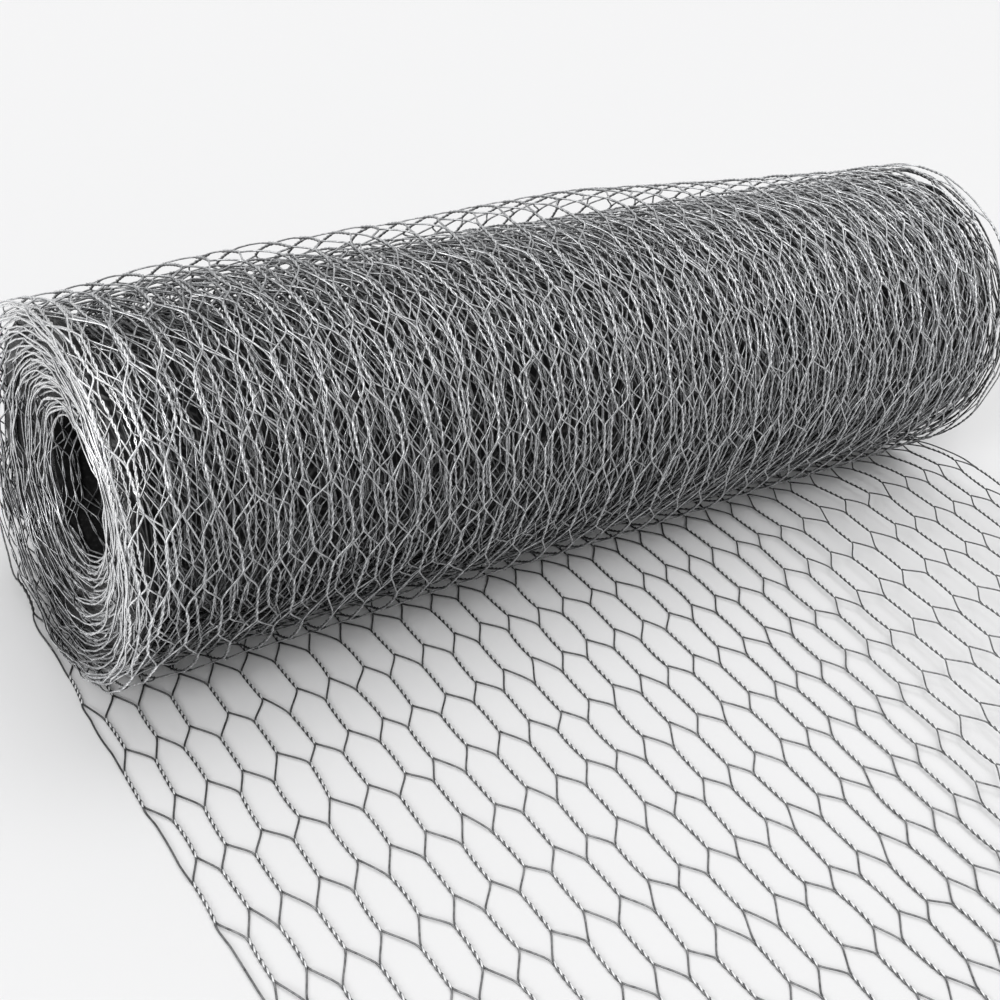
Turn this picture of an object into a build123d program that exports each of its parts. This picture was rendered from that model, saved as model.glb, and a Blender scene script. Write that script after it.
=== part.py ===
from build123d import *
import math
import os

# A roll of hexagonal wire netting that lies on its side with its outer end pulled out flat.
# X runs along the roll, -Y is the way the netting is pulled out, +Z is up.
# The origin is on the axis of the roll, halfway along it. Sizes are in millimetres.

# The netting
NETTING_WIDTH = 400.0       # selvage to selvage, and so the length of the roll
MESH_WIDTH = 12.5           # from one twist to the next, side by side
ROW_PITCH = 23.3            # from one row of twists to the next
TWIST_LENGTH = 15.2         # the stretch where two wires are twisted together
WIRE = 0.6                  # diameter of the galvanised wire
EDGE_PULL = 6.25            # how far the selvage draws its outermost column of twists inwards
EDGE_REACH = 3.0            # half meshes over which that pull dies away

# The roll
ROLL_DIAMETER = 124.0
BORE_DIAMETER = 44.0
END_DISH = 9.0              # how far the innermost turns stand back from the outermost
END_TURNS = 5               # ridges on each end, one for every seven turns of the netting
TURN_RELIEF = 2.0           # depth of the valleys between those ridges

# The loose outermost turn
LAYER_GAP = 0.3             # air between the roll and a layer that lies against it
LOOSE_LIFT = 3.5            # how far the loose turn stands off the top of the roll
LOOSE_THICKNESS = WIRE      # a plain sheet in place of one turn of netting

# The flat netting
FLAT_START = 6.0            # how far behind the roll's axis the netting begins to lie flat
FLAT_ROWS = 12              # rows of twists from under the roll to the cut end
ROWS_PER_LENGTH = 6         # rows in each node, which keeps its crossings under 400

SHEET = 2 * WIRE            # a twist is two wires thick
ROLL_RADIUS = ROLL_DIAMETER / 2
SHEET_TOP = -(ROLL_RADIUS + LAYER_GAP)
COLUMNS = 2 * round((NETTING_WIDTH + 2 * EDGE_PULL) / MESH_WIDTH)
HALF_MESH = (NETTING_WIDTH - WIRE + 2 * EDGE_PULL) / COLUMNS


def column_x(column):
    """Across the netting, where the twists of one column stand."""
    pull_left = EDGE_PULL * math.exp(-column / EDGE_REACH)
    pull_right = EDGE_PULL * math.exp(-(COLUMNS - column) / EDGE_REACH)
    from_left = column * HALF_MESH - EDGE_PULL + pull_left - pull_right
    return from_left - (NETTING_WIDTH - WIRE) / 2


def left_wall(column):
    """Inner side of the bar to the left of the cell in this column."""
    if column == 0:
        return column_x(0) + WIRE / 2
    if column == 1:
        return column_x(0) + 1.5 * WIRE
    return column_x(column - 1) + WIRE


def right_wall(column):
    """Inner side of the bar to the right of the same cell."""
    return -left_wall(COLUMNS - column)


def slant_edge(column, side):
    """Slope of the cell's edge under one slanted wire, and its drop below the wire's own line."""
    slope = (ROW_PITCH - TWIST_LENGTH) / (column_x(column) - column_x(column + side))
    return slope, WIRE / 2 * math.hypot(1, slope)


def half_cell(column, row, way):
    """The corners of a cell's hole on one side of its middle, left to right."""
    centre = column_x(column)
    edges = [slant_edge(column, side) for side in (-1, 1) if 0 <= column + side <= COLUMNS]
    (slope_left, drop_left), (slope_right, drop_right) = edges[0], edges[-1]
    left = left_wall(column) - centre
    right = right_wall(column) - centre
    corners = [(left, slope_left * left - drop_left)]
    if len(edges) == 2:
        peak = (drop_right - drop_left) / (slope_right - slope_left)
        corners.append((peak, slope_left * peak - drop_left))
    corners.append((right, slope_right * right - drop_right))
    apex = ROW_PITCH - TWIST_LENGTH / 2
    return [(centre + x, row * ROW_PITCH + way * (apex + y)) for x, y in corners]


def cell_columns(row):
    """Columns that hold a cell in this row; the others hold a twist."""
    return range(row % 2, COLUMNS + 1, 2)


def cell_hole(column, row):
    """Outline of one whole cell."""
    return half_cell(column, row, 1) + half_cell(column, row, -1)[::-1]


def cut_edge(row, way):
    """A row that is cut through its twists, left to right.

    It is cut halfway along them, apart from the first row, which begins behind the roll's axis.
    """
    cut = row * ROW_PITCH if row else -FLAT_START
    points = [(-NETTING_WIDTH / 2, cut)]
    for column in cell_columns(row):
        points.append((left_wall(column), cut))
        points += half_cell(column, row, way)
        points.append((right_wall(column), cut))
    points.append((NETTING_WIDTH / 2, cut))
    return points


def flat_wire(points):
    """A closed outline on the underside of the netting; rows count away from the roll."""
    return Wire.make_polygon([(x, -y, SHEET_TOP - SHEET) for x, y in points], close=True)


def flat_netting(first_row, last_row):
    """One length of the netting that lies flat, its bars fused where they cross."""
    outline = cut_edge(first_row, 1) + cut_edge(last_row, -1)[::-1]
    holes = [
        flat_wire(cell_hole(column, row))
        for row in range(first_row + 1, last_row)
        for column in cell_columns(row)
    ]
    return extrude(Face(flat_wire(outline), holes), amount=SHEET, dir=(0, 0, 1))


def end_ridges(inward):
    """Section of the turns on one end of the roll, from the bore outwards."""
    bore_radius = BORE_DIAMETER / 2
    steps = 2 * END_TURNS
    points = []
    for step in range(steps + 1):
        out = step / steps
        recess = END_DISH * (1 - out) + TURN_RELIEF * (step % 2)
        radius = bore_radius + out * (ROLL_RADIUS - bore_radius)
        points.append((inward * (recess - NETTING_WIDTH / 2), radius))
    return points


def wound_roll():
    """The tightly wound turns, as one turned solid with its bore."""
    section = end_ridges(1) + end_ridges(-1)[::-1]
    profile = Face(Wire.make_polygon([(x, r, 0) for x, r in section], close=True))
    return revolve(profile, axis=Axis.X, revolution_arc=360)


def loose_arcs():
    """The loose turn's inner face: two tangent arcs, each as centre, radius and two angles.

    Angles are in radians from the top of the roll, forward positive. The first arc goes from
    below up the back to the top, and the second comes down on the roll in front.
    """
    seat = ROLL_RADIUS + LAYER_GAP
    flatter = (FLAT_START ** 2 + LOOSE_LIFT ** 2) / (2 * LOOSE_LIFT)
    landing = math.atan2(FLAT_START, flatter - LOOSE_LIFT)
    return [
        ((FLAT_START, LOOSE_LIFT / 2), seat + LOOSE_LIFT / 2, -math.pi, 0),
        ((FLAT_START, LOOSE_LIFT - flatter), seat + flatter, 0, landing),
    ]


def section_arc(centre, radius, start, end):
    """One arc in the roll's left end plane."""
    return Edge.make_three_point_arc(*(
        Vector(
            -NETTING_WIDTH / 2,
            centre[0] - radius * math.sin(angle),
            centre[1] + radius * math.cos(angle),
        )
        for angle in (start, (start + end) / 2, end)
    ))


def loose_turn():
    """The outermost turn, which stands off the roll over its back and its top."""
    inner = [section_arc(*arc) for arc in loose_arcs()]
    outer = [section_arc(c, r + LOOSE_THICKNESS, *turn) for c, r, *turn in loose_arcs()]
    foot = Edge.make_line(inner[0] @ 0, outer[0] @ 0)
    tail = Edge.make_line(inner[-1] @ 1, outer[-1] @ 1)
    section = Face(Wire([*inner, tail, *outer[::-1], foot]))
    return extrude(section, amount=NETTING_WIDTH, dir=(1, 0, 0))


os.makedirs("parts", exist_ok=True)
nodes = {"wound_roll": wound_roll(), "loose_turn": loose_turn()}
for count, first_row in enumerate(range(0, FLAT_ROWS, ROWS_PER_LENGTH), start=1):
    last_row = min(first_row + ROWS_PER_LENGTH, FLAT_ROWS)
    nodes[f"flat_netting_{count}"] = flat_netting(first_row, last_row)

for name, solid in nodes.items():
    export_step(solid, f"parts/{name}.step")
    print(name, round(solid.volume), "mm3")
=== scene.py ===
import math

import bpy
import numpy as np
from mathutils import Euler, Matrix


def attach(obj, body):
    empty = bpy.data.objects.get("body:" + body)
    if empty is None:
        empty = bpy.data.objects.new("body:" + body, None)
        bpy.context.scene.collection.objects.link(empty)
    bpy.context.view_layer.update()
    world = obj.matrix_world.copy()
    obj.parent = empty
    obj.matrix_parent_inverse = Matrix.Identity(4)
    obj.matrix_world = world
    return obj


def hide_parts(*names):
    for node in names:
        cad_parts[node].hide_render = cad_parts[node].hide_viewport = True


# A roll of hexagonal wire netting on a pale floor. The netting is one sheet: it is laid out flat as
# columns and rows of twists, then carried along one path, which runs from the cut end under the
# roll, round the loose outer turn and down the spiral to the bore. Lengths are in millimetres until
# the meshes are made. X runs along the roll, and u along the netting from its cut end.
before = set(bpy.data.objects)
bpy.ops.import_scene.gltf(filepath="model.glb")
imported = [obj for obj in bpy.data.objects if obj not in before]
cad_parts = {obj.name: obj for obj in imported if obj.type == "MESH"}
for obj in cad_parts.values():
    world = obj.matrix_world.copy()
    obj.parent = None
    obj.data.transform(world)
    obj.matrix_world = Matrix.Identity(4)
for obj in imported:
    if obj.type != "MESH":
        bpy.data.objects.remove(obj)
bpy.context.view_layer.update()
rng = np.random.default_rng(23)
MM = 0.001

# Sizes of the CAD model
NETTING_WIDTH = 400.0
MESH_WIDTH = 12.5
ROW_PITCH = 23.3
TWIST_LENGTH = 15.2
WIRE = 0.6
EDGE_PULL = 6.25
EDGE_REACH = 3.0
ROLL_RADIUS = 62.0
BORE_RADIUS = 22.0
END_DISH = 9.0
LAYER_GAP = 0.3
LOOSE_LIFT = 3.5
FLAT_START = 6.0
FLAT_ROWS = 12
COLUMNS = 2 * round((NETTING_WIDTH + 2 * EDGE_PULL) / MESH_WIDTH)
HALF_MESH = (NETTING_WIDTH - WIRE + 2 * EDGE_PULL) / COLUMNS
HALF_WIDTH = NETTING_WIDTH / 2
SEAT = ROLL_RADIUS + LAYER_GAP
FLAT_LENGTH = FLAT_ROWS * ROW_PITCH     # from the cut end to below the roll's axis
FLOOR_Z = -(SEAT + 2 * WIRE)
CLEARANCE = WIRE                        # middle of a sheet above the face that it lies on

# The wire
FLAT_WIRE = WIRE
LOOSE_WIRE = 0.64
WOUND_WIRE = 0.57           # drawn finer, so that more of the turns below show between the wires
TWIST_TURNS = 3.0           # full turns of one wire round the other in each twist
SLANT_EASE = 0.55           # how gently a single wire bends away from its twist

# The spiral of the wound turns
TURN_PITCH = 1.12           # from one turn to the next
SPIRAL_STEPS = 270          # points in each turn
BUNCHING = 0.35             # share by which the turns lie closer and wider apart, alternately
BUNCH_TURNS = 7             # turns in each of those bunches
LANDING_EASE = 0.9          # how far the loose turn still stands off the others where it lands
LANDING_TURNS = 0.12        # share of a turn in which that dies away
LOOSE_END_LIFT = 6.48       # how far the innermost end springs off the wall of the bore
LOOSE_END_TURNS = 0.6       # share of a turn in which it does
NEST_SHIFT = 0.1            # rows by which a wound turn is out of step with the turn below

# How the flat netting is pulled out of true: terms in 1, x, y, xx, xy and yy, where x runs from
# -1 to 1 across the netting and y from -1 at the roll to 1 at the cut end
DRIFT_ACROSS = (2.65, 1.39, -2.41, -0.26, -5.83, 1.96)
DRIFT_ALONG = (1.60, 0.04, -1.48, -2.75, 4.23, 0.51)
RISE_SHAPE = (-4.75, 9.10, 0.88, 1.95, 3.69, 0.96)
RISE_MOST = 10.0
HELD_TRUE = 60.0            # from the roll's axis, where the roll begins to hold the netting true

# How the loose turn stands off the roll, as shares of the CAD model's stand-off. It bulges near
# the middle, and drops on either side from one distance from the middle to another.
LOOSE_SHARE = 0.32
BULGE_SHARE = 0.8
BULGE_AT = 15.0
BULGE_REACH = 65.0
RIGHT_DROP = (0.22, 90.0, 180.0)
LEFT_DROP = (0.24, 110.0, 200.0)
LOOSE_SWAY = 0.1

# How the wound turns stray from the spiral
WINDING_EASE = 150.0        # length of netting in which the straying sets in
STRAY_ACROSS = 1.0
STRAY_ALONG = 1.4           # shifts the ripples and the selvages' drift, not the wires
STRAY_OUT = 0.6
STRAY_STARTS = 25.0         # from the selvage inwards, where the straying across is all there
STAND_BACK = 1.9            # how far the turns stand back from the ends of the CAD model
GATHERED_SHARE = 0.9        # share of that on the loose turn
GATHERED_FROM = 20.0        # length of netting past the roll's axis where that share sets in
GATHERED_TO = 100.0
EACH_END = 1e5              # a place in the drift of the selvages that stands for one end
SLACK = 2.2                 # how far the landing turn hangs off the roll's lower front
SLACK_SWAY = 0.4
SLACK_AT = 70.0             # length of netting past the landing where it hangs lowest
SLACK_REACH = 35.0
TIGHT_END = 3.2             # how much smaller the roll is at its left end, over its top and back
TIGHT_FROM = 130.0          # from the middle of the roll to where that begins
TIGHT_Z = (-30.0, 50.0)     # heights between which it sets in

# How the twists are jostled, as standard deviations
JOSTLE_ACROSS = 0.42
JOSTLE_ALONG = 0.6
JOSTLE_BOW = 0.28
JOSTLE_OUT = 0.18
JOSTLE_LEAN = 0.035         # sideways for each millimetre along the twist
JOSTLE_SELVAGE = 0.12
WOUND_JOSTLE = 1.9          # times as much past the flat netting

# Where the wire gets painted highlights on its exposed side and painted shade on its hidden side
SELVAGE_BAND = (16.0, 3.0)  # from the selvage inwards, where painted light from the end sets in
END_PAINTED_LIGHT = 3.0               # how much more from the end than from outside
SIDE_CHANGE = 15.0          # either side of the roll's axis, where that changes from above to outside

# The deep turns, which can't be told apart, as one mass between the outer turns and the bore
DEEP_RADIUS = 46.0
DEEP_BORE = 27.5
DEEP_FLARE = 9.0            # how much wider the mass is at its ends, where the selvages crowd
DEEP_FLARE_FROM = 0.95      # share of the half length where it begins to widen
DEEP_FLARE_TO = 0.985
DEEP_SET_BACK = 5.0         # from the edges of the turns round it to its own ends
DEEP_SIDES = 144
DEEP_SLICES = 64


def column_x(column):
    """Across the netting, where the twists of a column stand."""
    pull = EDGE_PULL * (np.exp(-column / EDGE_REACH) - np.exp(-(COLUMNS - column) / EDGE_REACH))
    return column * HALF_MESH - EDGE_PULL + pull - (NETTING_WIDTH - WIRE) / 2


def smooth(value, start, end):
    """Rises gently from 0 at start to 1 at end."""
    t = np.clip((value - start) / (end - start), 0, 1)
    return t * t * (3 - 2 * t)


def ripples(count, across, along):
    """A smooth random field over the netting, mostly between -1 and 1."""
    waves = rng.uniform(0.4, 1.0, (count, 2)) * 2 * math.pi / np.array([across, along])
    waves[:, 0] *= rng.choice([-1, 1], count)
    phases = rng.uniform(0, 2 * math.pi, count)

    def field(x, u):
        total = sum(np.sin(a * x + b * u + p) for (a, b), p in zip(waves, phases))
        return total / math.sqrt(count)
    return field


# The path of the sheet's middle in the Y-Z plane

def arc(centre, radius, start, end):
    """Points about a millimetre apart. Angles are from the top of the roll, forward positive."""
    angles = np.linspace(start, end, int(radius * abs(end - start)) + 2)
    return np.stack([centre[0] - radius * np.sin(angles), centre[1] + radius * np.cos(angles)], 1)


def loose_path():
    """The two tangent arcs of the loose turn, as in the CAD model, and the angle where it lands."""
    flatter = (FLAT_START ** 2 + LOOSE_LIFT ** 2) / (2 * LOOSE_LIFT)
    landing = math.atan2(FLAT_START, flatter - LOOSE_LIFT)
    out = SEAT + CLEARANCE
    arcs = [
        arc((FLAT_START, LOOSE_LIFT / 2), out + LOOSE_LIFT / 2, -math.pi, 0),
        arc((FLAT_START, LOOSE_LIFT - flatter), out + flatter, 0, landing),
    ]
    return np.concatenate([points[:-1] for points in arcs]), landing


def wound_path(landing):
    """The spiral from where the loose turn lands down to the bore."""
    outermost = SEAT + CLEARANCE - LANDING_EASE
    turns = (outermost - BORE_RADIUS - WIRE) / TURN_PITCH
    turn = np.linspace(0, turns, int(turns * SPIRAL_STEPS))
    bunch = 2 * math.pi / BUNCH_TURNS
    crowded = turn + BUNCHING * np.sin(bunch * turn) / bunch
    radius = outermost - TURN_PITCH * crowded + LANDING_EASE * np.exp(-turn / LANDING_TURNS)
    sprung = np.clip(turn - turns + LOOSE_END_TURNS, 0, 1) / LOOSE_END_TURNS
    radius -= LOOSE_END_LIFT * sprung ** 2
    angle = landing + 2 * math.pi * turn
    return np.stack([-radius * np.sin(angle), radius * np.cos(angle)], 1)


flat_y = np.arange(-FLAT_LENGTH, FLAT_START, 1.0)
flat_path = np.stack([flat_y, np.full(len(flat_y), -SEAT - CLEARANCE)], 1)
loose_points, landing = loose_path()
path = np.concatenate([flat_path, loose_points, wound_path(landing)])
along = np.concatenate([[0], np.cumsum(np.hypot(*np.diff(path, axis=0).T))])
travel = np.gradient(path, along, axis=0)
travel /= np.linalg.norm(travel, axis=1)[:, None]
LOOSE_AT = along[len(flat_path)]
WOUND_AT = along[len(flat_path) + len(loose_points)]


def row_places():
    """Where each row stands along the netting.

    The twists of a wound turn lock into the meshes of the turn below, so every turn holds an odd
    number of rows, and a little more. The netting of the outer turns is stretched or crowded by up
    to 6% for it, and deeper turns by more.
    """
    places = list(np.arange(0, WOUND_AT, ROW_PITCH))
    radii = np.hypot(*path.T)
    while places[-1] < along[-1] - ROW_PITCH:
        radius = np.interp(places[-1], along, radii)
        locked = 2 * math.floor(math.pi * radius / ROW_PITCH) + 1 + NEST_SHIFT
        places.append(places[-1] + 2 * math.pi * radius / locked)
    return np.array(places)


row_u = row_places()
ROWS = len(row_u) - 2

# How many waves, and their shortest lengths across and along the netting
sway = ripples(9, 160, 90)
swell = ripples(9, 120, 110)
sideways = ripples(9, 150, 130)
lengthways = ripples(9, 150, 130)
selvage_drift = ripples(7, 10 * EACH_END, 330)


def pulled_out_of_true(x, u, h):
    """The flat netting drifts, stretches and rises off the floor towards its far side."""
    across = x / HALF_WIDTH
    out = 1 - 2 * u / FLAT_LENGTH
    terms = (1, across, out, across ** 2, across * out, out ** 2)
    fade = 1 - smooth(u, FLAT_LENGTH - HELD_TRUE, FLAT_LENGTH)
    x = x + fade * sum(a * t for a, t in zip(DRIFT_ACROSS, terms))
    u = u + fade * sum(a * t for a, t in zip(DRIFT_ALONG, terms))
    rise = RISE_MOST / (1 + np.exp(-sum(a * t for a, t in zip(RISE_SHAPE, terms))))
    return x, u, h - fade * rise


def loose_share(x):
    """How far the loose turn stands off the roll along its length, against the CAD model."""
    right, right_from, right_to = RIGHT_DROP
    left, left_from, left_to = LEFT_DROP
    bulge = LOOSE_SHARE + BULGE_SHARE * np.exp(-((x - BULGE_AT) / BULGE_REACH) ** 2)
    return bulge - right * smooth(x, right_from, right_to) - left * smooth(-x, left_from, left_to)


def stand_back(x, u, depth, wound):
    """How far the ends of each turn stand back, deeper turns more."""
    on_loose_turn = GATHERED_SHARE * smooth(u, FLAT_LENGTH + GATHERED_FROM, FLAT_LENGTH + GATHERED_TO)
    gathered = np.maximum(wound, on_loose_turn)
    return END_DISH * depth + gathered * STAND_BACK * (1 + selvage_drift(np.sign(x) * EACH_END, u))


def lifted(x, u, z, radius, depth, wound):
    """How far the netting stands off its path: loose, hanging slack, rippled or drawn tight."""
    loose = (u > FLAT_LENGTH) & (u < WOUND_AT)
    stand_off = np.where(loose, np.maximum(radius - SEAT - CLEARANCE, 0), 0)
    hanging = np.exp(-((u - WOUND_AT - SLACK_AT) / SLACK_REACH) ** 2)
    slack = SLACK * hanging * (1 + SLACK_SWAY * sway(x, u))
    tight = smooth(-x, TIGHT_FROM, HALF_WIDTH) * smooth(z, *TIGHT_Z) * (u > FLAT_LENGTH)
    rippled = stand_off * (loose_share(x) - 1 + LOOSE_SWAY * sway(x, u)) + wound * STRAY_OUT * swell(x, u)
    return rippled + slack - TIGHT_END * tight * (1 - depth)


def sheet_to_space(x, u, h):
    """Carries points of the flat sheet (across, along, height outside it) on to the path.

    With them come the way out of the sheet, and the way that the painted highlights and shade fall on
    the wire from, which is from above where the netting lies flat, and at the ends of the roll partly
    from the end.
    """
    selvage = smooth(np.abs(x), *(HALF_WIDTH - inwards for inwards in SELVAGE_BAND))
    x, u, h = pulled_out_of_true(x, u, h)
    y, z = (np.interp(u, along, path[:, i]) for i in (0, 1))
    dy, dz = (np.interp(u, along, travel[:, i]) for i in (0, 1))
    wound = np.clip((u - WOUND_AT) / WINDING_EASE, 0, 1)
    inside = 1 - smooth(np.abs(x), HALF_WIDTH - STRAY_STARTS, HALF_WIDTH)
    radius = np.hypot(y, z)
    depth = np.clip((ROLL_RADIUS - radius) / (ROLL_RADIUS - BORE_RADIUS), 0, 1) * wound
    shift = wound * STRAY_ALONG * lengthways(x, u)
    x = x + wound * inside * STRAY_ACROSS * sideways(x, u)
    u = u + shift
    x = x * (1 - stand_back(x, u, depth, wound) / HALF_WIDTH)
    h = h + lifted(x, u, z, radius, depth, wound)
    place = np.stack([x, y + dz * h, z - dy * h], -1)
    outward = np.stack([np.zeros_like(x), dz, -dy], -1)
    # Painted light falls from above on the flat netting and from outside on the roll, and at the roll's
    # ends also from the end
    exposed = outward * (2 * smooth(u, FLAT_LENGTH - SIDE_CHANGE, FLAT_LENGTH + SIDE_CHANGE) - 1)[..., None]
    exposed[..., 0] += END_PAINTED_LIGHT * wound * selvage * np.sign(x)
    return place, outward, exposed


# The wires

loose_row = LOOSE_AT / ROW_PITCH
row_numbers = np.arange(ROWS + 2)
on_roll = row_numbers > loose_row
jostle = np.where(on_roll, WOUND_JOSTLE, 1.0)
shape = (COLUMNS + 1, ROWS + 2)
twist_x = column_x(np.arange(COLUMNS + 1.0))[:, None] + rng.normal(0, JOSTLE_ACROSS, shape) * jostle
twist_u = row_u + rng.normal(0, JOSTLE_ALONG, shape) * jostle
twist_bow = rng.normal(0, JOSTLE_BOW, shape) * jostle
twist_h = rng.normal(0, JOSTLE_OUT, shape) * on_roll
twist_lean = rng.normal(0, JOSTLE_LEAN, shape) * jostle
selvages = column_x(np.array([0.0, COLUMNS]))[:, None]
twist_x[[0, -1]] = selvages + rng.normal(0, JOSTLE_SELVAGE, (2, ROWS + 2))


def twist_of(wires, row):
    """The column of each wire's twist in a row, the wire's side of it, and whether it is twisted."""
    column = np.where((wires + row) % 2 == 1, wires, wires - 1)
    twisted = (column >= 0) & (column <= COLUMNS)
    side = np.where(column == wires, -1.0, 1.0)
    side = np.where(wires == 0, -1.0, np.where(wires == COLUMNS + 1, 1.0, side))
    return np.clip(column, 0, COLUMNS), side, twisted


def in_twist(wires, row, v):
    """Points of each wire in its twist in a row, at places v along it from its middle."""
    column, side, twisted = twist_of(wires, row)
    angle = 2 * math.pi * TWIST_TURNS * (v / TWIST_LENGTH + 0.5)
    x = twist_x[column, row] + twist_lean[column, row] * v
    x = x + twist_bow[column, row] * (1 - (2 * v / TWIST_LENGTH) ** 2)
    u = twist_u[column, row] + v
    offset = side * WIRE / 2
    x = x + offset * np.where(twisted, np.cos(angle), 1.0)
    h = twist_h[column, row] + offset * np.where(twisted, np.sin(angle), 0.0)
    return np.stack(np.broadcast_arrays(x, u, h, h - twist_h[column, row]), -1)


def wire_points(wires, first_row, last_row, twist_steps, slant_steps):
    """Middle lines of these wires from the middle of one row of twists to the middle of another.

    Each point is across, along, height, and height within its own twist, 0 on a single wire.
    """
    wires = wires[:, None, None]
    rows = np.arange(first_row, last_row)[None, :, None]
    half_twist = np.linspace(0, TWIST_LENGTH / 2, twist_steps // 2 + 1)
    step = half_twist[-1] - half_twist[-2]
    leave = in_twist(wires, rows, half_twist)
    arrive = in_twist(wires, rows + 1, half_twist - TWIST_LENGTH / 2)
    start, end = leave[:, :, -1:], arrive[:, :, :1]
    t = np.linspace(0, 1, slant_steps + 1)[1:-1, None]
    reach = SLANT_EASE * (end[..., 1:2] - start[..., 1:2])
    lean_out = (leave[:, :, -1:] - leave[:, :, -2:-1]) / step
    lean_in = (arrive[:, :, 1:2] - arrive[:, :, :1]) / step
    single = (
        (2 * t ** 3 - 3 * t ** 2 + 1) * start + (t ** 3 - 2 * t ** 2 + t) * reach * lean_out
        + (3 * t ** 2 - 2 * t ** 3) * end + (t ** 3 - t ** 2) * reach * lean_in
    )
    single[..., 3] = 0
    spans = np.concatenate([leave, single, arrive[:, :, :-1]], axis=2)
    points = spans.reshape(len(wires), -1, 4)
    return np.concatenate([points, arrive[:, -1, -1:, :]], axis=1)


def mesh_object(name, corners, walls, lids=()):
    """A mesh object of smooth four-sided walls and flat lids, from corners in millimetres."""
    sides = len(lids[0]) if len(lids) else 0
    mesh = bpy.data.meshes.new(name)
    mesh.vertices.add(corners.size // 3)
    mesh.vertices.foreach_set("co", (corners * MM).astype(np.float32).ravel())
    loops = np.concatenate([walls.ravel(), np.ravel(lids)]).astype(np.int32)
    sizes = np.concatenate([np.full(len(walls), 4), np.full(len(lids), sides)])
    starts = np.concatenate([[0], np.cumsum(sizes)[:-1]]).astype(np.int32)
    mesh.loops.add(len(loops))
    mesh.loops.foreach_set("vertex_index", loops)
    mesh.polygons.add(len(sizes))
    mesh.polygons.foreach_set("loop_start", starts)
    mesh.polygons.foreach_set("use_smooth", np.arange(len(sizes)) < len(walls))
    mesh.update(calc_edges=True)
    mesh.validate()
    piece = bpy.data.objects.new(name, mesh)
    bpy.context.scene.collection.objects.link(piece)
    return piece


def tubes(name, lines, outward, exposed, lift, thickness, sides):
    """One mesh object with a closed round tube along each line.

    Its attribute for the painted shade and highlights goes from -1 on the hidden side of a twist to 1 on
    the exposed side.
    """
    ahead = np.gradient(lines, axis=1)
    ahead /= np.linalg.norm(ahead, axis=2)[..., None]
    beside = np.cross(ahead, outward)
    beside /= np.linalg.norm(beside, axis=2)[..., None]
    above = np.cross(beside, ahead)
    turn = 2 * math.pi * (np.arange(sides) + 0.5) / sides
    ring = np.cos(turn)[:, None] * beside[:, :, None] + np.sin(turn)[:, None] * above[:, :, None]
    radius = thickness / 2 * math.pi / (sides * math.sin(math.pi / sides))
    corners = lines[:, :, None] + ring * radius
    # How far each corner faces the painted light: for painted shade underneath and painted highlights on
    # top
    lift = lift * (outward * exposed).sum(-1)
    lit_facing = (lift[:, :, None] + radius * (ring * exposed[:, :, None]).sum(-1)) / WIRE

    count, length = lines.shape[:2]
    number = np.arange(count * length * sides).reshape(count, length, sides)
    onward = np.roll(number, -1, axis=2)
    walls = np.stack([number[:, :-1], onward[:, :-1], onward[:, 1:], number[:, 1:]], -1).reshape(-1, 4)
    lids = np.concatenate([number[:, 0, ::-1], number[:, -1]])
    piece = mesh_object(name, corners, walls, lids)
    values = piece.data.attributes.new("lit_facing", "FLOAT", "POINT").data
    values.foreach_set("value", lit_facing.astype(np.float32).ravel())
    return piece


def deep_turns(name):
    """A tube that flares at its ends, unrolled on a UV map in millimetres for its wire pattern.

    Its material slots are the outside, the ends and the bore.
    """
    share = np.sin(np.linspace(-math.pi / 2, math.pi / 2, DEEP_SLICES))
    flare = DEEP_FLARE * smooth(np.abs(share), DEEP_FLARE_FROM, DEEP_FLARE_TO)
    wall = np.stack([DEEP_RADIUS + flare, np.full(DEEP_SLICES, DEEP_BORE)])
    dish = END_DISH * (ROLL_RADIUS - wall) / (ROLL_RADIUS - BORE_RADIUS)
    x = share * (HALF_WIDTH - dish - DEEP_SET_BACK)
    x, wall = (np.concatenate([rows[0], rows[1, ::-1]]) for rows in (x, wall))
    turn = 2 * math.pi * np.arange(DEEP_SIDES) / DEEP_SIDES
    rings = np.broadcast_arrays(x[:, None], wall[:, None] * np.sin(turn), wall[:, None] * np.cos(turn))
    number = np.arange(2 * DEEP_SLICES * DEEP_SIDES).reshape(2 * DEEP_SLICES, DEEP_SIDES)
    onward = np.roll(number, -1, axis=1)
    walls = np.stack([number, onward, np.roll(onward, -1, axis=0), np.roll(number, -1, axis=0)], -1)
    walls = walls.reshape(-1, 4)
    piece = mesh_object(name, np.stack(rings, -1), walls)

    across = np.concatenate([[0], np.cumsum(np.hypot(np.diff(x), np.diff(wall)))])
    way = 2 * math.pi * DEEP_RADIUS * np.arange(DEEP_SIDES + 1) / DEEP_SIDES
    start = np.stack([way[walls[:, 0] % DEEP_SIDES]] * 4, -1)
    unrolled = np.stack([across[walls // DEEP_SIDES], start], -1)
    unrolled[:, 1:3, 1] += way[1]
    layer = piece.data.uv_layers.new(name="unrolled")
    layer.data.foreach_set("uv", unrolled.astype(np.float32).ravel())

    steep = np.abs(np.diff(wall, append=wall[0])) > np.abs(np.diff(x, append=x[0]))
    part = np.where(steep, 1, np.where(np.arange(2 * DEEP_SLICES) >= DEEP_SLICES, 2, 0))
    slots = part[walls[:, 0] // DEEP_SIDES].astype(np.int32)
    piece.data.polygons.foreach_set("material_index", slots)
    return piece


# Materials

ZINC_PATCHES = ((0.32, (0.38, 0.385, 0.395)), (0.5, (0.66, 0.67, 0.685)), (0.66, (0.92, 0.93, 0.945)))
ZINC_BRIGHTEST = (0.96, 0.965, 0.97)
WIRE_PATCH_SCALE = 520
DEEP_PATCH_SCALE = 420
BORE_PATCH_SCALE = 700
GRAIN_SCALE = 900
PITTING_SCALE = 2600
PITTING_DEPTH = 0.00012
PITTING_STRENGTH = 0.35
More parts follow.
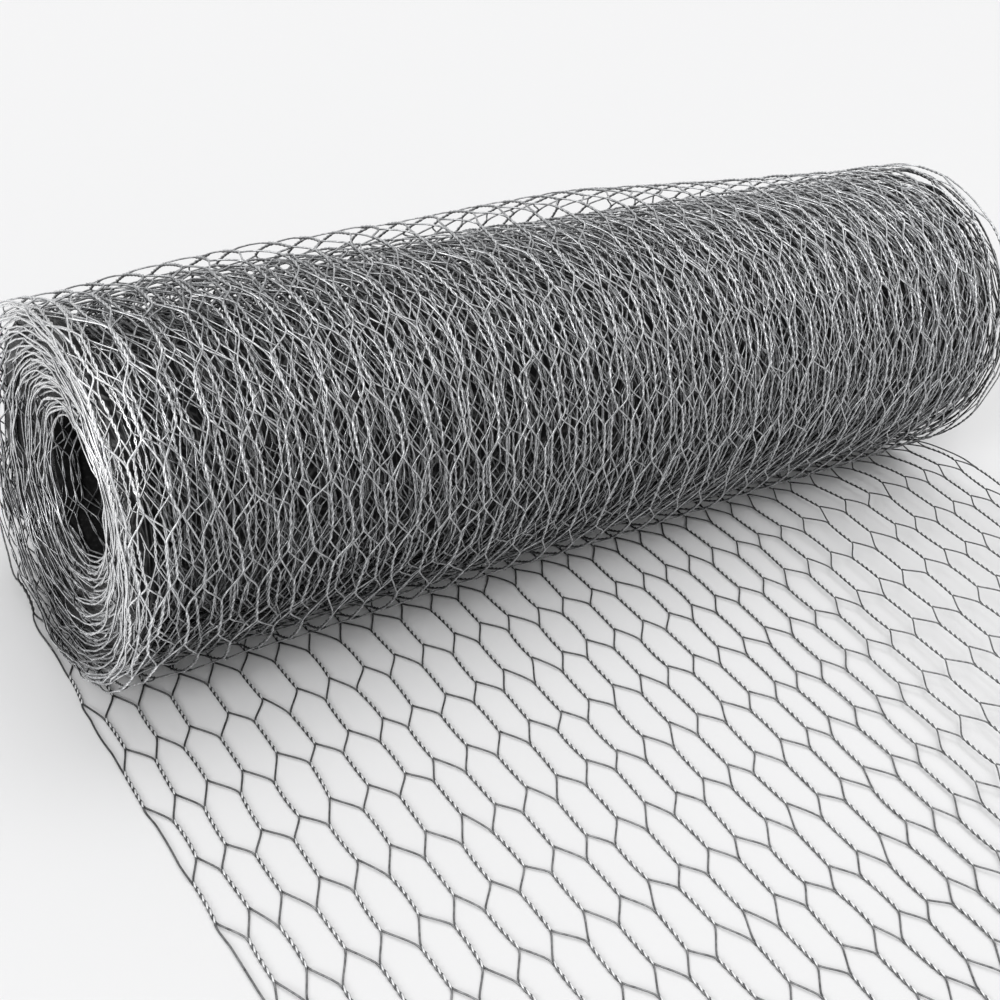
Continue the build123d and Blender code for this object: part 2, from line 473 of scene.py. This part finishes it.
# Painted shade: the near black between the wires deep in the roll
GAP_SHADE = (0.008, 0.008, 0.009, 1)
DULLER = 0.18               # how much rougher the dull patches of a wire are
LIT_FACING_RANGE = (-1.2, 1.2)  # between which the painted shade and highlights below go

# Painted shade and painted highlights on the wire by how it faces, from its hidden side to its exposed side
FLAT_SHADE_AND_HIGHLIGHT = ((0.15, 0.06), (0.5, 0.2), (0.7, 0.34), (0.74, 0.9), (0.8, 2.2))
WOUND_SHADE_AND_HIGHLIGHT = ((0.2, 0.06), (0.42, 0.35), (0.6, 0.8), (0.75, 1.0), (0.92, 1.7))

# How that painted light changes from place to place: the way it is changed, the axis, from where to where
# in metres, and by how much. A power darkens the hidden sides most: the flat netting gets painted shadow
# towards the roll. The roll gets painted light at its near end and over its top, and painted shade low
# down.
FLAT_PAINTED_SHADOW = (("POWER", "Y", -0.14, -0.05, ((0, 1.0), (1, 1.9))),)
WOUND_PAINTED_LIGHT = (
    ("MULTIPLY", "X", -0.2, 0.2, ((0, 1.6), (0.03, 1.5), (0.06, 0.9), (0.5, 0.92), (1, 1.2))),
    ("MULTIPLY", "Z", -0.062, 0.062, ((0, 0.32), (0.2, 0.57), (0.4, 0.84), (0.65, 1.0), (1, 1.3))),
)

# Layers of the pattern of crossing wires: stretch round the roll, lean, and width of a wire
CROSSING_LAYERS = ((0.42, 0.0, 0.08), (0.36, 0.4, 0.07), (0.5, -0.3, 0.08))
CROSSING_PITCH = 4.0
CROSSING_SHIFT = (3.7, 1.9)
CROSSING_LEAN = 0.1
CROSSING_SHADE_STEP = 0.25        # how much darker each deeper layer is painted, as shade
CROSSING_DISORDER = 0.8
CROSSING_FULL = 0.3         # share of a wire's width that is drawn at its full brightness
STREAK_SCALE = (1.1, 0.045, 1)
STREAK_EDGES = (0.52, 0.60)


def grey(*stops):
    """Stops of a colour ramp from positions and grey levels."""
    return [(position, (level, level, level)) for position, level in stops]


def add_node(tree, kind, inputs, **settings):
    """A new node, its settings made first. Each input is a plain value or a socket that feeds it."""
    node = tree.nodes.new("ShaderNode" + kind)
    for name, value in settings.items():
        setattr(node, name, value)
    for key, value in inputs.items():
        if isinstance(value, bpy.types.NodeSocket):
            tree.links.new(value, node.inputs[key])
        else:
            node.inputs[key].default_value = value
    return node


def ramp(tree, source, stops):
    """A colour by a value between 0 and 1."""
    node = add_node(tree, "ValToRGB", {"Fac": source})
    for element, (position, colour) in zip(node.color_ramp.elements, (stops[0], stops[-1])):
        element.position = position
        element.color = (*colour, 1)
    for position, colour in stops[1:-1]:
        node.color_ramp.elements.new(position).color = (*colour, 1)
    return node.outputs["Color"]


def from_to(tree, source, low, high, at_low=0.0, at_high=1.0):
    """A share by where a value lies between low and high."""
    inputs = {
        "Value": source,
        "From Min": low,
        "From Max": high,
        "To Min": at_low,
        "To Max": at_high,
    }
    return add_node(tree, "MapRange", inputs).outputs["Result"]


def noise(tree, place, scale, detail, **settings):
    """A cloudy pattern."""
    inputs = {"Vector": place, "Scale": scale, "Detail": detail}
    return add_node(tree, "TexNoise", inputs, **settings).outputs["Fac"]


def metal(name, metallic, patch_scale, patches, roughness, cover=None):
    """Grey zinc with pale and dark patches and a fine uneven surface.

    The cover, where there is one, turns the colour of the patches into the colour that shows.
    """
    material = bpy.data.materials.new(name)
    material.use_nodes = True
    tree = material.node_tree
    shader = tree.nodes["Principled BSDF"]
    shader.inputs["Metallic"].default_value = metallic
    place = add_node(tree, "TexCoord", {}).outputs["Object"]
    colour = ramp(tree, noise(tree, place, patch_scale, 3), patches)
    if cover:
        colour = cover(tree, colour)
    tree.links.new(colour, shader.inputs["Base Color"])
    grain = noise(tree, place, GRAIN_SCALE, 2)
    tree.links.new(ramp(tree, grain, roughness), shader.inputs["Roughness"])
    pitting = noise(tree, place, PITTING_SCALE, 2)
    inputs = {"Strength": PITTING_STRENGTH, "Distance": PITTING_DEPTH, "Height": pitting}
    tree.links.new(add_node(tree, "Bump", inputs).outputs["Normal"], shader.inputs["Normal"])
    return material


def wire_metal(name, shade, metallic, smoothest, painted_light_stops, drifts):
    """Wire with dull and bright patches, painted bright on its exposed side as a highlight and dark
    underneath as shade.
    """
    def painted_light_on_wire(tree, colour):
        lit_facing = add_node(tree, "Attribute", {}, attribute_name="lit_facing").outputs["Fac"]
        place = add_node(tree, "TexCoord", {}).outputs["Object"]
        axes = add_node(tree, "SeparateXYZ", {"Vector": place}).outputs
        # Painted shade on the hidden side of the wire and painted highlights on its exposed side
        level = ramp(tree, from_to(tree, lit_facing, *LIT_FACING_RANGE), grey(*painted_light_stops))
        # Painted light and shadow that change from place to place
        for operation, axis, low, high, stops in drifts:
            drift = ramp(tree, from_to(tree, axes[axis], low, high), grey(*stops))
            level = add_node(tree, "Math", {0: level, 1: drift}, operation=operation).outputs["Value"]
        scaled = add_node(tree, "VectorMath", {"Vector": colour, "Scale": level}, operation="SCALE")
        inputs = {0: scaled.outputs["Vector"], 1: ZINC_BRIGHTEST}
        return add_node(tree, "VectorMath", inputs, operation="MINIMUM").outputs["Vector"]

    patches = [(stop, tuple(shade * part for part in colour)) for stop, colour in ZINC_PATCHES]
    roughness = grey((0.3, smoothest), (0.7, smoothest + DULLER))
    return metal(name, metallic, WIRE_PATCH_SCALE, patches, roughness, painted_light_on_wire)


def over_gaps(tree, share, colour):
    """The colour where the share is 1, over gaps painted black as shade."""
    inputs = {"Factor": share, "A": GAP_SHADE, "B": colour}
    return add_node(tree, "Mix", inputs, data_type="RGBA").outputs["Result"]


def crossing_wires(tree, colour):
    """The look of many turns of netting behind one another: grey wires, each deeper layer painted darker as
    shade, over gaps painted black as shade.
    """
    unrolled = add_node(tree, "UVMap", {}, uv_map="unrolled").outputs["UV"]
    wires = None
    for layer, (stretch, lean, width) in enumerate(CROSSING_LAYERS):
        lay = add_node(tree, "Mapping", {
            "Vector": unrolled,
            "Location": (CROSSING_SHIFT[0] * layer, CROSSING_SHIFT[1] * layer, 0),
            "Rotation": (0, 0, CROSSING_LEAN * lean),
            "Scale": (1 / CROSSING_PITCH, stretch / CROSSING_PITCH, 1),
        })
        inputs = {"Vector": lay.outputs["Vector"], "Scale": 1.0, "Randomness": CROSSING_DISORDER}
        settings = {"voronoi_dimensions": "2D", "feature": "DISTANCE_TO_EDGE"}
        distance = add_node(tree, "TexVoronoi", inputs, **settings).outputs["Distance"]
        brightest = 1 - CROSSING_SHADE_STEP * layer
        edge = from_to(tree, distance, CROSSING_FULL * width, width, brightest, 0.0)
        if wires:
            edge = add_node(tree, "Math", {0: wires, 1: edge}, operation="MAXIMUM").outputs["Value"]
        wires = edge
    return over_gaps(tree, wires, colour)


def selvages_end_on(tree, colour):
    """The look of many selvages side by side: long streaks that run round the roll, over gaps painted black
    as shade.
    """
    unrolled = add_node(tree, "UVMap", {}, uv_map="unrolled").outputs["UV"]
    lay = add_node(tree, "Mapping", {"Vector": unrolled, "Scale": STREAK_SCALE})
    streaks = noise(tree, lay.outputs["Vector"], 1.0, 3, noise_dimensions="2D")
    return over_gaps(tree, from_to(tree, streaks, *STREAK_EDGES), colour)


def deep_materials():
    """The outside, the ends and the bore of the deep turns, painted dark as the shade deep in the roll, the
    bore near black.
    """
    outside = metal(
        "deep_wires",
        metallic=0.6,
        patch_scale=DEEP_PATCH_SCALE,
        patches=grey((0.3, 0.03), (0.7, 0.16)),
        roughness=grey((0.3, 0.4), (0.7, 0.6)),
        cover=crossing_wires,
    )
    ends = metal(
        "deep_ends",
        metallic=0.6,
        patch_scale=DEEP_PATCH_SCALE,
        patches=grey((0.3, 0.15), (0.7, 0.5)),
        roughness=grey((0.3, 0.25), (0.7, 0.45)),
        cover=selvages_end_on,
    )
    # The bore painted near black, as its shade
    bore = metal(
        "bore_in_painted_shade",
        metallic=0.3,
        patch_scale=BORE_PATCH_SCALE,
        patches=grey((0.4, 0.004), (0.55, 0.01), (0.7, 0.03)),
        roughness=grey((0.3, 0.5), (0.7, 0.7)),
    )
    return outside, ends, bore


flat_wire = wire_metal(
    "galvanised_wire_flat", shade=1.0, metallic=0.45, smoothest=0.3, painted_light_stops=FLAT_SHADE_AND_HIGHLIGHT, drifts=FLAT_PAINTED_SHADOW,
)
# Copies of one zinc painted lighter or darker by depth as painted shade: the turns from the seventh
# darkest, the outer turns a little darker than the third to sixth, and the wires of the inner turns near
# the ends and in the bore at full brightness, as painted light on the end face
outer_wire, end_wire, middle_wire, inner_wire = (
    wire_metal(name, shade, metallic=0.55, smoothest=0.2, painted_light_stops=WOUND_SHADE_AND_HIGHLIGHT, drifts=WOUND_PAINTED_LIGHT)
    for name, shade in (
        ("galvanised_wire", 0.8),
        ("galvanised_wire_ends", 1.0),
        ("galvanised_wire_middle", 0.92),
        ("galvanised_wire_inner", 0.68),
    )
)

# The netting is made in pieces, with the wires plainer the deeper they lie. Of the turns past the
# thirteenth only the wires near both ends and those in the bore are made, and a tube with a
# pattern of wires fills the middle.
END_WIRES = 5               # from each selvage inwards, made at every depth
BORE_WIRES = 22             # from each selvage inwards, made in the bore
BORE_ROWS = 21              # of the innermost turns, which line the bore
ROWS_BEFORE_TURNS = (16, 32, 64, 96, 194)   # the second, third, fifth, seventh and fourteenth

# Steps in a twist and in a single wire, thickness, and sides of the wire
FLAT_DETAIL = (18, 6, FLAT_WIRE, 5)
LOOSE_DETAIL = (12, 4, LOOSE_WIRE, 4)
OUTER_DETAIL = (10, 3, WOUND_WIRE, 4)
MIDDLE_DETAIL = (6, 3, WOUND_WIRE, 3)
INNER_DETAIL = (4, 2, WOUND_WIRE, 3)
PLAIN_DETAIL = (2, 1, WOUND_WIRE, 3)

every_wire = np.arange(COLUMNS + 2)
near_ends = np.concatenate([every_wire[:END_WIRES], every_wire[-END_WIRES:]])
seen_in_bore = np.concatenate([every_wire[:BORE_WIRES], every_wire[-BORE_WIRES:]])
halfway = FLAT_ROWS // 2
loose = round(LOOSE_AT / ROW_PITCH)
first = round(WOUND_AT / ROW_PITCH)
second, third, fifth, seventh, fourteenth = (first + rows for rows in ROWS_BEFORE_TURNS)
bore = ROWS - BORE_ROWS

# Name, CAD node, material, wires, first and last row, and how finely they are drawn
pieces = [
    ("netting_cut_end", "flat_netting_2", flat_wire, every_wire, (0, halfway), FLAT_DETAIL),
    ("netting_under_roll", "flat_netting_1", flat_wire, every_wire, (halfway, loose), FLAT_DETAIL),
    ("netting_loose_turn", "loose_turn", outer_wire, every_wire, (loose, first), LOOSE_DETAIL),
    ("netting_turn_1", "wound_roll", outer_wire, every_wire, (first, second), OUTER_DETAIL),
    ("netting_turn_2", "wound_roll", outer_wire, every_wire, (second, third), OUTER_DETAIL),
    ("netting_turns_3_4", "wound_roll", middle_wire, every_wire, (third, fifth), MIDDLE_DETAIL),
    ("netting_turns_5_6", "wound_roll", middle_wire, every_wire, (fifth, seventh), INNER_DETAIL),
    ("netting_turns_7_13", "wound_roll", inner_wire, every_wire, (seventh, fourteenth), PLAIN_DETAIL),
    ("netting_inner_turns", "wound_roll", end_wire, near_ends, (fourteenth, bore), INNER_DETAIL),
    ("netting_bore_turns", "wound_roll", end_wire, seen_in_bore, (bore, ROWS), INNER_DETAIL),
]
for name, node, material, wires, rows, (twist_steps, slant_steps, thickness, sides) in pieces:
    flat = wire_points(wires, *rows, twist_steps, slant_steps)
    placed = sheet_to_space(flat[..., 0], flat[..., 1], flat[..., 2])
    piece = tubes(name, *placed, flat[..., 3], thickness, sides)
    piece.data.materials.append(material)
    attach(piece, "root")
    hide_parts(node)

deep = deep_turns("netting_deep_turns")
for material in deep_materials():
    deep.data.materials.append(material)
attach(deep, "root")
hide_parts("wound_roll")


# Floor, light and camera

FLOOR_SIZE = 8.0            # metres
FLOOR_COLOUR = (0.84, 0.84, 0.845, 1)

# Grey levels of the sky, from the horizon to straight up
SKY_LEVELS = ((0, 0.6), (0.22, 0.5), (0.30, 0.12), (0.46, 0.12), (0.62, 0.75), (1, 0.8))
BACKDROP = (0.91, 0.91, 0.91, 1)

# Name, strength, spread, and tilt and lean off straight down, in degrees
LAMPS = (
    ("key", 0.5, 14, 24, -32),
    ("top", 0.58, 40, -5, 12),
    ("fill", 0.3, 50, 55, -25),
    ("side", 0.95, 20, 12, -62),
)
CAMERA_PLACE = (-0.31455, -0.33584, 0.25744)    # metres
CAMERA_TURN = (54.812, -9.140, -35.103)         # degrees
CAMERA_LENS = 49.07                             # millimetres


def add_floor():
    """A plain pale floor."""
    bpy.ops.mesh.primitive_plane_add(size=FLOOR_SIZE, location=(0, 0, FLOOR_Z * MM))
    material = bpy.data.materials.new("pale_floor")
    material.use_nodes = True
    shader = material.node_tree.nodes["Principled BSDF"]
    shader.inputs["Base Color"].default_value = FLOOR_COLOUR
    shader.inputs["Roughness"].default_value = 0.9
    floor = bpy.context.object
    floor.name = "floor"
    floor.data.materials.append(material)


def add_sky():
    """A soft sky with a dark band for the wires to reflect, and pale where the camera sees it."""
    world = bpy.data.worlds.new("studio")
    bpy.context.scene.world = world
    world.use_nodes = True
    tree = world.node_tree
    direction = add_node(tree, "TexCoord", {}).outputs["Generated"]
    axes = add_node(tree, "SeparateXYZ", {"Vector": direction}).outputs
    level = ramp(tree, axes["Z"], grey(*SKY_LEVELS))
    seen = add_node(tree, "LightPath", {}).outputs["Is Camera Ray"]
    inputs = {"Factor": seen, "A": level, "B": BACKDROP}
    backdrop = add_node(tree, "Mix", inputs, data_type="RGBA")
    tree.links.new(backdrop.outputs["Result"], tree.nodes["Background"].inputs["Color"])


def add_lamp(name, strength, spread, tilt, lean):
    """One broad soft lamp, far away."""
    lamp = bpy.data.lights.new(name, "SUN")
    lamp.energy = strength
    lamp.angle = math.radians(spread)
    lamp_object = bpy.data.objects.new(name, lamp)
    lamp_object.rotation_euler = Euler((math.radians(tilt), math.radians(lean), 0))
    bpy.context.scene.collection.objects.link(lamp_object)


def add_camera():
    """The photograph's viewpoint."""
    camera = bpy.data.cameras.new("camera")
    camera.sensor_width = 36
    camera.lens = CAMERA_LENS
    camera.clip_start = 0.01
    camera_object = bpy.data.objects.new("camera", camera)
    camera_object.location = CAMERA_PLACE
    camera_object.rotation_euler = Euler([math.radians(angle) for angle in CAMERA_TURN])
    bpy.context.scene.collection.objects.link(camera_object)
    bpy.context.scene.camera = camera_object


add_floor()
add_sky()
for lamp_settings in LAMPS:
    add_lamp(*lamp_settings)
add_camera()

bpy.context.scene.view_settings.view_transform = "Standard"
